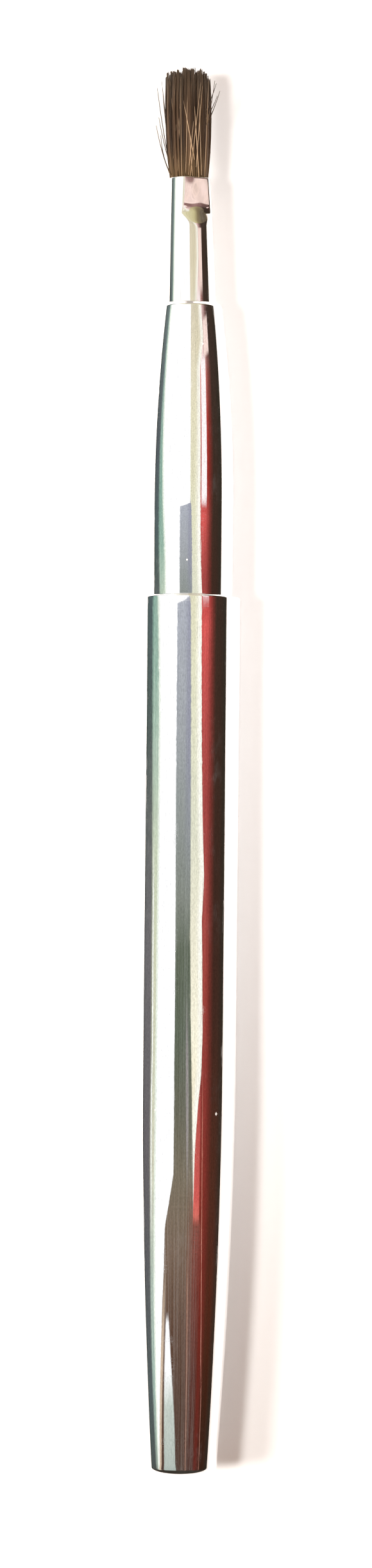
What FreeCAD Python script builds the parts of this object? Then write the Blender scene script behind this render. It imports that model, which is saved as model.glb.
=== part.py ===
"""Retractable detail brush with a sliding cover sleeve, lying on its side.

Every turned piece is drawn as a half profile: the first coordinate is the distance
from the brush's axis, the second runs along the axis from the closed butt (0) towards
the tips of the hairs.  Each piece is then placed so that the long axis runs along +Y,
the handle lies on z = 0 and the origin is under the middle of the whole brush.
"""
import FreeCAD
import Part
import math
import os

import Sketcher

doc = FreeCAD.newDocument("detail_brush")

# ---------------------------------------------------------------- driving sizes, mm

SIZES = {
    # outside of the handle
    "handle_radius": 5.0,
    "handle_wall": 0.4,
    "handle_length": 82.1,
    "taper_length": 40.0,
    "taper_arc": 520.0,
    "butt_height": 0.935,
    "butt_edge": 0.7,
    "butt_dome": 14.7,
    "butt_dome_height": 0.302,
    "butt_dome_radius": 2.97234,
    "lip_ease": 1.002,
    "butt_floor": 1.1,
    # sliding sleeve
    "sleeve_radius": 4.24,
    "sleeve_wall": 0.35,
    "sleeve_mouth_at": 109.7,
    "sleeve_length": 61.2,
    "nose_length": 19.0,
    "nose_arc": 142.0,
    "nose_bore": 2.72,
    "nose_lip_depth": 1.2,
    "slide_travel": 24.0,
    # bush in the handle's mouth
    "bush_length": 9.0,
    "bush_recess": 0.3,
    "bush_clearance": 0.06,
    # guide collar and its ring at the sleeve's inner end
    "collar_flange_length": 4.0,
    "collar_clearance": 0.06,
    "collar_spigot_length": 5.5,
    "ring_wire": 0.34,
    "ring_clearance": 0.02,
    "ring_side_play": 0.06,
    # plastic guide in the sleeve's nose
    "guide_start": 2.0,
    "guide_length": 8.0,
    "guide_bore": 2.7,
    # rod, plug and stop inside the handle
    "rod_radius": 1.5,
    "rod_bevel": 0.3,
    "rod_start": 3.0,
    "rod_end": 103.2,
    "plug_length": 13.0,
    "glue_gap": 0.05,
    "stop_gap": 0.3,
    "washer_thickness": 0.5,
    "washer_radius": 3.3,
    "stop_length": 4.0,
    # brush head
    "ferrule_radius": 2.56,
    "ferrule_mouth_radius": 2.08,
    "ferrule_wall": 0.25,
    "ferrule_mouth_at": 121.6,
    "ferrule_length": 26.0,
    "ferrule_taper": 12.6,
    "flat_distance": 1.66,
    "flat_length": 2.8,
    "shoulder_length": 2.1,
    "flat_turn": 25.0,
    "cut_overrun": 1.0,
    "adapter_flange": 1.2,
    "adapter_length": 11.0,
    "adapter_socket": 1.72,
    "adapter_socket_depth": 9.2,
    "root_at": 113.6,
    "root_radius": 1.64,
    "root_length": 3.2,
    "root_ovality": 0.999,
    "plug_depth": 3.6,
    "plug_cup": 1.2,
    "stem_start": 0.3,
    "stem_half_width": 1.76,
    "stem_half_depth": 1.34,
    "tip_half_width": 2.12,
    "tip_half_depth": 1.66,
    "tip_at": 131.8,
    "thread_radius": 0.12,
    "thread_turns": 4,
    "thread_pitch": 1.7,
    "thread_start": 1.5,
    "head_lean": 1.0,
    "lean_pivot": 5.0,
}

sheet = doc.addObject("Spreadsheet::Sheet", "Sizes")
for row, (alias, number) in enumerate(SIZES.items(), start=1):
    sheet.set(f"A{row}", alias)
    sheet.set(f"B{row}", str(number))
    sheet.setAlias(f"B{row}", alias)
doc.recompute()


class Length:
    """A size that carries both its number and the sheet expression that gives it."""

    def __init__(self, number, text):
        self.number = number
        self.text = text

    def _join(self, sign, other):
        other = as_length(other)
        return other, f"({self.text} {sign} {other.text})"

    def __add__(self, other):
        other, text = self._join("+", other)
        return Length(self.number + other.number, text)

    def __sub__(self, other):
        other, text = self._join("-", other)
        return Length(self.number - other.number, text)

    def __mul__(self, other):
        other, text = self._join("*", other)
        return Length(self.number * other.number, text)

    def __truediv__(self, other):
        other, text = self._join("/", other)
        return Length(self.number / other.number, text)


def as_length(value):
    return value if isinstance(value, Length) else Length(float(value), repr(float(value)))


def size(alias):
    """The sheet's cell of that name, as a Length."""
    return Length(float(sheet.get(alias)), f"Sizes.{alias}")


def sag(radius, run):
    """How far a circle falls away from its tangent after a run along the tangent."""
    inside = radius * radius - run * run
    return radius - Length(math.sqrt(inside.number), f"sqrt({inside.text})")


class Bend:
    """An arc to the next profile point, bulging away from the chord's right-hand side."""

    def __init__(self, radius, side):
        self.radius = radius
        self.side = side


# ------------------------------------------------------------------- sketch helpers


def origin_plane(body, role):
    return next(plane for plane in body.Origin.OriginFeatures if plane.Role == role)


def new_sketch(body, name, role="XY_Plane"):
    sketch = body.newObject("Sketcher::SketchObject", name)
    sketch.AttachmentSupport = [(origin_plane(body, role), "")]
    sketch.MapMode = "FlatFace"
    return sketch


def bind(sketch, constraint, name, expression):
    """Add a constraint and tie its value to the sheet."""
    index = sketch.addConstraint(constraint)
    sketch.renameConstraint(index, name)
    sketch.setExpression(f"Constraints.{name}", expression)


def arc_middle(start, end, bend):
    """The point halfway along an arc of a given radius between two points."""
    chord = end - start
    left = FreeCAD.Vector(-chord.y, chord.x, 0).normalize() * bend.side
    half = chord.Length / 2
    rise = bend.radius.number - math.sqrt(bend.radius.number ** 2 - half ** 2)
    return (start + end) / 2 + left * rise


def draw_outline(sketch, steps, tag="p"):
    """Draw one closed outline of points, with a Bend between two points for an arc."""
    points = [step for step in steps if not isinstance(step, Bend)]
    places = [FreeCAD.Vector(x.number, y.number, 0) for x, y in points]
    bends = {}
    for position, step in enumerate(steps):
        if isinstance(step, Bend):
            bends[sum(1 for earlier in steps[:position] if not isinstance(earlier, Bend)) - 1] = step
    edges = []
    ends = []
    for index, start in enumerate(places):
        end = places[(index + 1) % len(places)]
        bend = bends.get(index)
        if bend is None:
            edges.append(sketch.addGeometry(Part.LineSegment(start, end), False))
            ends.append((1, 2))
            continue
        arc = Part.Arc(start, arc_middle(start, end, bend), end)
        edges.append(sketch.addGeometry(arc, False))
        first = sketch.getPoint(edges[-1], 1)
        ends.append((1, 2) if (first - start).Length < (first - end).Length else (2, 1))
    for index, edge in enumerate(edges):
        following = (index + 1) % len(edges)
        sketch.addConstraint(
            Sketcher.Constraint("Coincident", edge, ends[index][1], edges[following], ends[following][0])
        )
    for index, (x, y) in enumerate(points):
        corner = (edges[index], ends[index][0])
        across = Sketcher.Constraint("DistanceX", -1, 1, *corner, x.number)
        along = Sketcher.Constraint("DistanceY", -1, 1, *corner, y.number)
        bind(sketch, across, f"{tag}{index}_across", x.text)
        bind(sketch, along, f"{tag}{index}_along", y.text)
    for index, bend in bends.items():
        radius = Sketcher.Constraint("Radius", edges[index], bend.radius.number)
        bind(sketch, radius, f"{tag}{index}_bend", bend.radius.text)


def new_body(name):
    body = doc.addObject("PartDesign::Body", name)
    body.Label = name
    return body


def turned(name, steps):
    """A body of revolution about the brush's axis, from one half profile."""
    body = new_body(name)
    sketch = new_sketch(body, f"{name}_profile")
    draw_outline(sketch, steps)
    doc.recompute()
    revolution = body.newObject("PartDesign::Revolution", f"{name}_revolution")
    revolution.Profile = sketch
    revolution.ReferenceAxis = (sketch, ["V_Axis"])
    revolution.Angle = 360.0
    body.Tip = revolution
    return body


# -------------------------------------------------------------- shared measurements

axis_line = as_length(0.0)
handle_bore = size("handle_radius") - size("handle_wall")
inner_taper_arc = size("taper_arc") - size("handle_wall")
sleeve_bore = size("sleeve_radius") - size("sleeve_wall")
inner_nose_arc = size("nose_arc") - size("sleeve_wall")
sleeve_mouth = size("sleeve_mouth_at")
sleeve_end = sleeve_mouth - size("sleeve_length")
nose_start = sleeve_mouth - size("nose_length")
collar_radius = handle_bore - size("collar_clearance")
collar_back = sleeve_end - size("collar_flange_length")
ferrule_mouth = size("ferrule_mouth_at")
ferrule_back = ferrule_mouth - size("ferrule_length")


def handle_inside(along):
    """Inner radius of the handle where its taper has begun."""
    return handle_bore - sag(inner_taper_arc, size("taper_length") - along)


def nose_inside(along):
    """Inner radius of the sleeve's curved nose."""
    return sleeve_bore - sag(inner_nose_arc, along - nose_start)


# ------------------------------------------------------------------ handle and rod


def make_handle_tube():
    """Drawn metal tube, straight at the grip and curving in to a closed, domed butt."""
    butt_radius = size("handle_radius") - sag(size("taper_arc"), size("taper_length") - size("butt_height"))
    lip = size("handle_wall") / 2
    rim = size("handle_length")
    return turned("handle_tube", [
        (axis_line, axis_line),
        Bend(size("butt_dome"), -1),
        (size("butt_dome_radius"), size("butt_dome_height")),
        Bend(size("butt_edge"), -1),
        (butt_radius, size("butt_height")),
        Bend(size("taper_arc"), -1),
        (size("handle_radius"), size("taper_length")),
        (size("handle_radius"), rim - lip),
        Bend(lip * size("lip_ease"), -1),
        (handle_bore, rim - lip),
        (handle_bore, size("taper_length")),
        Bend(inner_taper_arc, 1),
        (handle_inside(size("butt_floor")), size("butt_floor")),
        (axis_line, size("butt_floor")),
    ])


def make_mouth_bush():
    """Thin plastic bush in the handle's mouth: it guides the sleeve and stops its collar."""
    front = size("handle_length") - size("bush_recess")
    back = front - size("bush_length")
    bore = size("sleeve_radius") + size("bush_clearance")
    return turned("mouth_bush", [
        (bore, back),
        (handle_bore, back),
        (handle_bore, front),
        (bore, front),
    ])


def make_butt_plug():
    """Plastic plug glued in the tapered end of the handle, with a socket for the rod."""
    gap = size("glue_gap")
    back = size("butt_floor") + gap
    front = back + size("plug_length")
    return turned("butt_plug", [
        (axis_line, back),
        (handle_inside(back) - gap, back),
        Bend(inner_taper_arc, -1),
        (handle_inside(front) - gap, front),
        (size("rod_radius"), front),
        (size("rod_radius"), size("rod_start")),
        (axis_line, size("rod_start")),
    ])


def make_core_rod():
    """Straight rod that carries the brush head through the whole handle."""
    bevel = size("rod_bevel")
    return turned("core_rod", [
        (axis_line, size("rod_start")),
        (size("rod_radius"), size("rod_start")),
        (size("rod_radius"), size("rod_end") - bevel),
        (size("rod_radius") - bevel, size("rod_end")),
        (axis_line, size("rod_end")),
    ])


def make_stop_bush():
    """Bush fixed on the rod that centres it and ends the sleeve's way into the handle."""
    front = collar_back - size("stop_gap") - size("washer_thickness")
    back = front - size("stop_length")
    outside = handle_bore - size("glue_gap")
    return turned("stop_bush", [
        (size("rod_radius"), back),
        (outside, back),
        (outside, front),
        (size("rod_radius"), front),
    ])


def make_stop_washer():
    """Soft washer on the stop bush, so that the sleeve's collar lands quietly."""
    front = collar_back - size("stop_gap")
    back = front - size("washer_thickness")
    return turned("stop_washer", [
        (size("rod_radius"), back),
        (size("washer_radius"), back),
        (size("washer_radius"), front),
        (size("rod_radius"), front),
    ])


# ------------------------------------------------------------------ sliding sleeve


def make_sleeve_tube():
    """Metal sleeve with a curved nose, the part that slides over the hairs."""
    mouth_radius = size("sleeve_radius") - sag(size("nose_arc"), size("nose_length"))
    lip = (mouth_radius - size("nose_bore")) / 2
    lip_step = sleeve_mouth - size("nose_lip_depth")
    return turned("sleeve_tube", [
        (sleeve_bore, sleeve_end),
        (size("sleeve_radius"), sleeve_end),
        (size("sleeve_radius"), nose_start),
        Bend(size("nose_arc"), -1),
        (mouth_radius, sleeve_mouth - lip),
        Bend(lip * size("lip_ease"), -1),
        (size("nose_bore"), sleeve_mouth - lip),
        (size("nose_bore"), lip_step),
        (nose_inside(lip_step), lip_step),
        Bend(inner_nose_arc, 1),
        (sleeve_bore, nose_start),
    ])


def make_nose_guide():
    """Tapered plastic guide inside the nose, running along the ferrule."""
    gap = size("glue_gap")
    front = sleeve_mouth - size("guide_start")
    back = front - size("guide_length")
    return turned("nose_guide", [
        (size("guide_bore"), back),
        (nose_inside(back) - gap, back),
        Bend(inner_nose_arc, -1),
        (nose_inside(front) - gap, front),
        (size("guide_bore"), front),
    ])


def make_guide_collar():
    """Collar pressed into the sleeve's inner end, with a groove for the friction ring."""
    groove_half = size("ring_wire") + size("ring_side_play")
    groove_middle = sleeve_end - size("collar_flange_length") / 2
    groove_floor = handle_bore - size("ring_clearance") - size("ring_wire") * 2 - size("glue_gap")
    bore = size("rod_radius") + size("collar_clearance")
    spigot_end = sleeve_end + size("collar_spigot_length")
    return turned("guide_collar", [
        (bore, collar_back),
        (collar_radius, collar_back),
        (collar_radius, groove_middle - groove_half),
        (groove_floor, groove_middle - groove_half),
        (groove_floor, groove_middle + groove_half),
        (collar_radius, groove_middle + groove_half),
        (collar_radius, sleeve_end),
        (sleeve_bore, sleeve_end),
        (sleeve_bore, spigot_end),
        (bore, spigot_end),
    ])


def make_friction_ring():
    """Round rubber ring in the collar's groove that holds the sleeve where it is put."""
    ring = doc.addObject("Part::Torus", "friction_ring")
    ring.Label = "friction_ring"
    centre_radius = handle_bore - size("ring_clearance") - size("ring_wire")
    ring.setExpression("Radius1", centre_radius.text)
    ring.setExpression("Radius2", size("ring_wire").text)
    return ring


# ---------------------------------------------------------------------- brush head


def ferrule_form(name, inset):
    """The ferrule's outer form, or the form inside its wall when inset by the wall.

    A turned cone whose mouth is pressed flat on two sides; a sloping shoulder leads
    from each flat back to the round.
    """
    radius = size("ferrule_radius") - inset
    mouth_radius = size("ferrule_mouth_radius") - inset
    flat = size("flat_distance") - inset
    overrun = size("cut_overrun")
    body = turned(name, [
        (axis_line, ferrule_back - overrun),
        (radius, ferrule_back - overrun),
        (radius, ferrule_mouth - size("ferrule_taper")),
        (mouth_radius, ferrule_mouth),
        (mouth_radius, ferrule_mouth + overrun),
        (axis_line, ferrule_mouth + overrun),
    ] if inset.number else [
        (axis_line, ferrule_back),
        (radius, ferrule_back),
        (radius, ferrule_mouth - size("ferrule_taper")),
        (mouth_radius, ferrule_mouth),
        (axis_line, ferrule_mouth),
    ])
    doc.recompute()
    before = body.Shape.Volume
    sketch = new_sketch(body, f"{name}_press", "YZ_Plane")
    beyond = ferrule_mouth + overrun * 2
    flat_end = ferrule_mouth - size("flat_length")
    shoulder_end = flat_end - size("shoulder_length")
    far = size("ferrule_radius") * 2
    for side, tag in ((1.0, "upper"), (-1.0, "lower")):
        draw_outline(sketch, [
            (beyond, flat * side),
            (flat_end, flat * side),
            (shoulder_end, (size("ferrule_radius") - inset) * side),
            (shoulder_end, far * side),
            (beyond, far * side),
        ], tag)
    doc.recompute()
    pocket = body.newObject("PartDesign::Pocket", f"{name}_flats")
    pocket.Profile = sketch
    pocket.Type = "ThroughAll"
    pocket.Midplane = True
    body.Tip = pocket
    doc.recompute()
    if body.Shape.Volume >= before:
        raise RuntimeError(f"{name}: the flats cut nothing")
    return body


def make_ferrule():
    """Thin metal ferrule, round at the back and pressed flat around the hairs."""
    ferrule = doc.addObject("Part::Cut", "ferrule")
    ferrule.Label = "ferrule"
    ferrule.Base = ferrule_form("ferrule_outside", as_length(0.0))
    ferrule.Tool = ferrule_form("ferrule_inside", size("ferrule_wall"))
    return ferrule


def make_ferrule_adapter():
    """Plastic adapter: its nose is glued in the ferrule, its socket takes the rod."""
    inside = size("ferrule_radius") - size("ferrule_wall")
    back = ferrule_back - size("adapter_flange")
    front = ferrule_back + size("adapter_length")
    socket_end = back + size("adapter_socket_depth")
    return turned("ferrule_adapter", [
        (size("adapter_socket"), back),
        (size("ferrule_radius"), back),
        (size("ferrule_radius"), ferrule_back),
        (inside, ferrule_back),
        (inside, front),
        (axis_line, front),
        (axis_line, socket_end),
        (size("adapter_socket"), socket_end),
    ])


def ferrule_inside_radius(along):
    """Inner radius of the ferrule along its cone, where it is still round."""
    slope = (size("ferrule_radius") - size("ferrule_mouth_radius")) / size("ferrule_taper")
    straight_end = ferrule_mouth - size("ferrule_taper")
    return size("ferrule_radius") - size("ferrule_wall") - slope * (along - straight_end)


def make_adhesive_plug():
    """Set adhesive at the hairs' roots, a shallow cup around the bound bundle."""
    back = size("root_at") - size("plug_depth")
    front = size("root_at") + size("plug_cup")
    return turned("adhesive_plug", [
        (axis_line, back),
        (ferrule_inside_radius(back) - size("glue_gap"), back),
        (ferrule_inside_radius(front) - size("glue_gap"), front),
        (size("root_radius"), size("root_at") + size("plug_cup")),
        (size("root_radius"), size("root_at")),
        (axis_line, size("root_at")),
    ])


def make_binding_thread():
    """Turns of thread round the roots of the hairs, each turn pressed into the next."""
    turns = []
    pitch = size("thread_radius") * size("thread_pitch")
    first = size("root_at") + size("plug_cup") + size("thread_radius") * size("thread_start")
    for number in range(int(size("thread_turns").number)):
        turn = doc.addObject("Part::Torus", f"thread_turn_{number + 1}")
        turn.setExpression("Radius1", (size("root_radius") + size("thread_radius")).text)
        turn.setExpression("Radius2", size("thread_radius").text)
        turn.setExpression("Placement.Base.y", (first + pitch * number).text)
        turn.Placement.Rotation = FreeCAD.Rotation(FreeCAD.Vector(1, 0, 0), 90)
        turns.append(turn)
    thread = doc.addObject("Part::MultiFuse", "binding_thread")
    thread.Label = "binding_thread"
    thread.Shapes = turns
    return thread


def make_bristle_tuft():
    """The bundle of hairs: round and bound at the root, flat at the ferrule's mouth."""
    flat_end = ferrule_mouth - size("flat_length")
    sections = (
        (size("root_at"), size("root_radius"), size("root_radius") * size("root_ovality")),
        (size("root_at") + size("root_length"), size("root_radius"), size("root_radius") * size("root_ovality")),
        (flat_end + size("stem_start"), size("stem_half_width"), size("stem_half_depth")),
        (ferrule_mouth, size("stem_half_width"), size("stem_half_depth")),
        (size("tip_at"), size("tip_half_width"), size("tip_half_depth")),
    )
    ovals = []
    for number, (along, half_width, half_depth) in enumerate(sections):
        oval = doc.addObject("Part::Ellipse", f"tuft_section_{number + 1}")
        oval.setExpression("MajorRadius", half_width.text)
        oval.setExpression("MinorRadius", half_depth.text)
        oval.setExpression("Placement.Base.y", along.text)
        oval.Placement.Rotation = FreeCAD.Rotation(FreeCAD.Vector(1, 0, 0), 90)
        ovals.append(oval)
    tuft = doc.addObject("Part::Loft", "bristle_tuft")
    tuft.Label = "bristle_tuft"
    tuft.Sections = ovals
    tuft.Solid = True
    tuft.Ruled = True
    return tuft


# ---------------------------------------------------------------- build and place

straight_pieces = [
    make_handle_tube(),
    make_mouth_bush(),
    make_butt_plug(),
    make_core_rod(),
    make_stop_bush(),
    make_stop_washer(),
    make_sleeve_tube(),
    make_nose_guide(),
    make_guide_collar(),
]
friction_ring = make_friction_ring()
head_pieces = [
    make_ferrule_adapter(),
    make_adhesive_plug(),
    make_ferrule(),
    make_binding_thread(),
    make_bristle_tuft(),
]
doc.recompute()

middle = size("tip_at") / 2
floor_height = size("handle_radius")
for piece in straight_pieces:
    piece.setExpression("Placement.Base.y", f"-{middle.text}")
    piece.setExpression("Placement.Base.z", floor_height.text)

ring_along = sleeve_end - size("collar_flange_length") / 2 - middle
friction_ring.Placement.Rotation = FreeCAD.Rotation(FreeCAD.Vector(1, 0, 0), 90)
friction_ring.setExpression("Placement.Base.y", ring_along.text)
friction_ring.setExpression("Placement.Base.z", floor_height.text)

# The head sits with a slight lean in the adapter's glue, about a point behind the sleeve's mouth.
pivot = FreeCAD.Vector(0, (sleeve_mouth - size("lean_pivot")).number, 0)
lie_down = FreeCAD.Placement(FreeCAD.Vector(0, -middle.number, floor_height.number), FreeCAD.Rotation())
lean = FreeCAD.Rotation(FreeCAD.Vector(0, 0, 1), size("head_lean").number)
flat_turn = FreeCAD.Rotation(FreeCAD.Vector(0, 1, 0), size("flat_turn").number)
head_place = lie_down.multiply(FreeCAD.Placement(FreeCAD.Vector(), lean, pivot))
for piece in head_pieces:
    piece.Placement = head_place.multiply(FreeCAD.Placement(FreeCAD.Vector(), flat_turn))
doc.recompute()

# ------------------------------------------------------------------ check and write

for item in doc.Objects:
    if "Invalid" in item.State or "Error" in item.State:
        raise RuntimeError(f"{item.Name} did not compute: {item.State}")

os.makedirs("parts", exist_ok=True)
for piece in straight_pieces + [friction_ring] + head_pieces:
    shape = piece.Shape
    if shape.isNull() or not shape.isValid():
        raise RuntimeError(f"{piece.Label} has no valid shape")
    shape.exportStep(f"parts/{piece.Label}.step")
    box = shape.BoundBox
    print(f"{piece.Label}: {len(shape.Solids)} solid, {shape.Volume:.2f} mm3, "
          f"y {box.YMin + middle.number:.2f} to {box.YMax + middle.number:.2f}, "
          f"x {box.XMin:.2f} to {box.XMax:.2f}, z {box.ZMin:.2f} to {box.ZMax:.2f}")
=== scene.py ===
"""Looks of the retractable detail brush: mirror-bright tubes, pressed ferrule, natural hair tuft.

Everything is in metres in the frame of the CAD model: +Y runs along the brush to the tips of
the hairs and the handle lies on z = 0.  New pieces are surfaces worked out as whole arrays.
"""
import math

import bpy
import numpy as np
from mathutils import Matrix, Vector


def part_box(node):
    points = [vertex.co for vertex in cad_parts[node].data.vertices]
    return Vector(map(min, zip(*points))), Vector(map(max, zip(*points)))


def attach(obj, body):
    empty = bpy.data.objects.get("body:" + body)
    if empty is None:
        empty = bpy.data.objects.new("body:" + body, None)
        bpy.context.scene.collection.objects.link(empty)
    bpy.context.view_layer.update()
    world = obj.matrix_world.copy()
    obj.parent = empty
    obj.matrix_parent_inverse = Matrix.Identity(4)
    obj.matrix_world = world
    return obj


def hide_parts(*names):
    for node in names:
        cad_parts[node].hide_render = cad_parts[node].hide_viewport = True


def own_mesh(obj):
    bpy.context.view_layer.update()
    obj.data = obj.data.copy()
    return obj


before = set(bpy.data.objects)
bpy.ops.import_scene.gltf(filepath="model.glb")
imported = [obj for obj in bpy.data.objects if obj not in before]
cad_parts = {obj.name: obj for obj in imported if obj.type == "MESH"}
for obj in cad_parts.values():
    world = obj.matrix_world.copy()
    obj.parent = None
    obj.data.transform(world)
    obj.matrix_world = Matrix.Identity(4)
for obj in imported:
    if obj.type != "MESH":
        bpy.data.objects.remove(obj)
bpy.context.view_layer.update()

MM = 0.001
rng = np.random.default_rng(20)

# ------------------------------------------------------------------ sizes from the frame

handle_low, handle_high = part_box("handle_tube")
sleeve_low, sleeve_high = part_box("sleeve_tube")
BUTT = handle_low[1]
HANDLE_RADIUS = (handle_high[0] - handle_low[0]) / 2
HANDLE_LENGTH = handle_high[1] - handle_low[1]
AXIS_HEIGHT = (handle_low[2] + handle_high[2]) / 2
SLEEVE_RADIUS = (sleeve_high[0] - sleeve_low[0]) / 2
SLEEVE_BACK = sleeve_low[1]
SLEEVE_MOUTH = sleeve_high[1]

HANDLE_WALL = 0.4 * MM
TAPER_LENGTH = 40 * MM
TAPER_ARC = 520 * MM
SLEEVE_WALL = 0.35 * MM
NOSE_LENGTH = 19 * MM
NOSE_ARC = 142 * MM
NOSE_BORE = 2.72 * MM
NOSE_LIP_DEPTH = 1.2 * MM

FERRULE_RADIUS = 2.56 * MM
FERRULE_MOUTH_RADIUS = 2.08 * MM
FERRULE_REACH = 11.9 * MM
FERRULE_LENGTH = 26 * MM
FERRULE_TAPER = 12.6 * MM
FERRULE_WALL = 0.25 * MM
FLAT_DISTANCE = 1.66 * MM
FLAT_LENGTH = 2.8 * MM
SHOULDER_SLOPE = 0.34
FLAT_TURN = math.radians(25)
FERRULE_MOUTH = SLEEVE_MOUTH + FERRULE_REACH
FLECK_ACROSS = 3.09 * MM
FLECK_ALONG = BUTT + 33.9 * MM
HAIR_REACH = 10.2 * MM
HEAD_LEAN = math.radians(1.0)
LEAN_PIVOT = SLEEVE_MOUTH - 5.0 * MM


# ------------------------------------------------------------------------ mesh helpers


def add_mesh(name, points, faces, smooth=True):
    """A mesh object at the origin from an array of points and a list of face arrays."""
    mesh = bpy.data.meshes.new(name)
    mesh.from_pydata(points.tolist(), [], [face for group in faces for face in group.tolist()])
    mesh.polygons.foreach_set("use_smooth", np.full(len(mesh.polygons), smooth))
    mesh.update()
    piece = bpy.data.objects.new(name, mesh)
    bpy.context.scene.collection.objects.link(piece)
    return piece


def arc(centre, radius, start, end, steps):
    """Points (distance from axis, along) on a circle, from one angle to another in degrees."""
    angle = np.radians(np.linspace(start, end, steps))
    return np.stack([centre[0] + radius * np.cos(angle), centre[1] + radius * np.sin(angle)], axis=1)


def straight(start, end, steps=2):
    """Points evenly along a straight line, with a close pair at each end to keep its corners crisp."""
    share = np.linspace(0, 1, steps)
    close = 0.01 * MM / max(math.dist(start, end), 0.03 * MM)
    share = np.unique(np.concatenate([share, [close, 1 - close]]))
    return np.asarray(start) + share[:, None] * (np.asarray(end) - np.asarray(start))


def ring_faces(rows, columns, closed):
    """Quads between neighbouring rings of a grid; closed joins the last ring to the first."""
    row = np.arange(rows if closed else rows - 1)[:, None]
    column = np.arange(columns)[None, :]
    following = (row + 1) % rows
    beside = (column + 1) % columns
    corners = [row * columns + column, row * columns + beside,
               following * columns + beside, following * columns + column]
    return np.stack(np.broadcast_arrays(*corners), axis=-1).reshape(-1, 4)


def turned_points(radius, along, sides):
    """Rings about the brush's axis; radius holds one number a ring, or one for each side too."""
    angle = np.arange(sides) / sides * 2 * math.pi
    radius = np.broadcast_to(radius if radius.ndim == 2 else radius[:, None], (len(along), sides))
    x = radius * np.sin(angle)
    z = AXIS_HEIGHT + radius * np.cos(angle)
    y = np.broadcast_to(along[:, None], x.shape)
    return np.stack([x, y, z], axis=-1).reshape(-1, 3)


def turned_ring(name, profile, sides):
    """A closed wall of revolution: the profile is a loop, carried round the axis."""
    points = turned_points(profile[:, 0], profile[:, 1], sides)
    return add_mesh(name, points, [ring_faces(len(profile), sides, True)])


def turned_cup(name, profile, sides):
    """A wall of revolution that is closed at one end: the profile starts and ends on the axis."""
    inner = profile[1:-1]
    rings = turned_points(inner[:, 0], inner[:, 1], sides)
    poles = np.array([[0, profile[0, 1], AXIS_HEIGHT], [0, profile[-1, 1], AXIS_HEIGHT]])
    count = len(rings)
    side = np.arange(sides)
    beside = (side + 1) % sides
    last = count - sides
    first_fan = np.stack([np.full(sides, count), beside, side], axis=1)
    last_fan = np.stack([last + side, last + beside, np.full(sides, count + 1)], axis=1)
    quads = ring_faces(len(inner), sides, False)
    return add_mesh(name, np.concatenate([rings, poles]), [quads, first_fan, last_fan])


def leaned(points):
    """Points turned by the head's small lean about a point on the axis inside the nose."""
    moved = points - np.array([0, LEAN_PIVOT, 0])
    cos, sin = math.cos(HEAD_LEAN), math.sin(HEAD_LEAN)
    x = moved[:, 0] * cos - moved[:, 1] * sin
    y = moved[:, 0] * sin + moved[:, 1] * cos
    return np.stack([x, y + LEAN_PIVOT, moved[:, 2]], axis=1)


# ---------------------------------------------------------------------- shader helpers


class Value:
    """A shader socket that can be used in sums; each operator adds a Math node."""

    def __init__(self, graph, socket):
        self.graph = graph
        self.socket = socket

    def __add__(self, other):
        return self.graph.math("ADD", self, other)

    def __sub__(self, other):
        return self.graph.math("SUBTRACT", self, other)

    def __rsub__(self, other):
        return self.graph.math("SUBTRACT", other, self)

    def __mul__(self, other):
        return self.graph.math("MULTIPLY", self, other)

    def __truediv__(self, other):
        return self.graph.math("DIVIDE", self, other)

    def __abs__(self):
        return self.graph.math("ABSOLUTE", self)

    def __gt__(self, other):
        return self.graph.math("GREATER_THAN", self, other)

    __radd__ = __add__
    __rmul__ = __mul__


def set_stops(ramp, stops):
    """Give a colour ramp its stops, each a place from 0 to 1 and a colour."""
    while len(ramp.elements) > 1:
        ramp.elements.remove(ramp.elements[-1])
    for number, (place, shade) in enumerate(stops):
        stop = ramp.elements[0] if number == 0 else ramp.elements.new(place)
        stop.position = place
        stop.color = shade


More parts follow.
